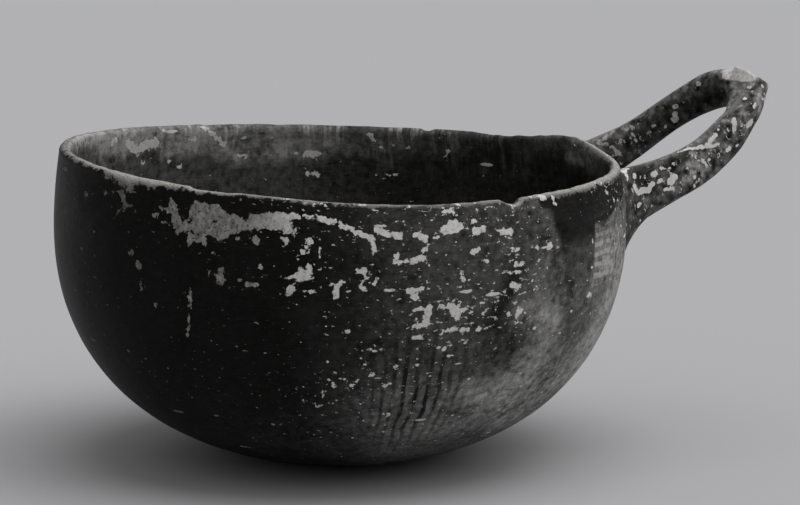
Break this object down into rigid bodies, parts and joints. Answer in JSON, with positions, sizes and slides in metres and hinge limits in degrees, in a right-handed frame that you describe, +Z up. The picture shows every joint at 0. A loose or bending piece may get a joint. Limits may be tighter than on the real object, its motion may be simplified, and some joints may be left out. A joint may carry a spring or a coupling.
{
  "type": "handled bowl",
  "caption": "Round-bottomed earthenware bowl with a thin uneven lip and a looped wishbone handle that rises from the rim.",
  "frame": {"origin": "centre of the small flat under the bowl, on the surface that it stands on", "axes": "+Z up along the bowl's axis, +X towards the handle"},
  "size_m": [0.2307, 0.18, 0.1206],
  "materials": {
    "black_slip": "burnished dark slip over fired earthenware, with pale lime crust and worn edges",
    "joint_slip": "the same slip over clay smeared by hand, a little less polished"
  },
  "bodies": {
    "root": {"bowl_body": "black_slip", "handle_strap": "black_slip", "near_root_luting": "joint_slip", "far_root_luting": "joint_slip", "near_tang_dab": "joint_slip", "far_tang_dab": "joint_slip"}
  },
  "joints": []
}
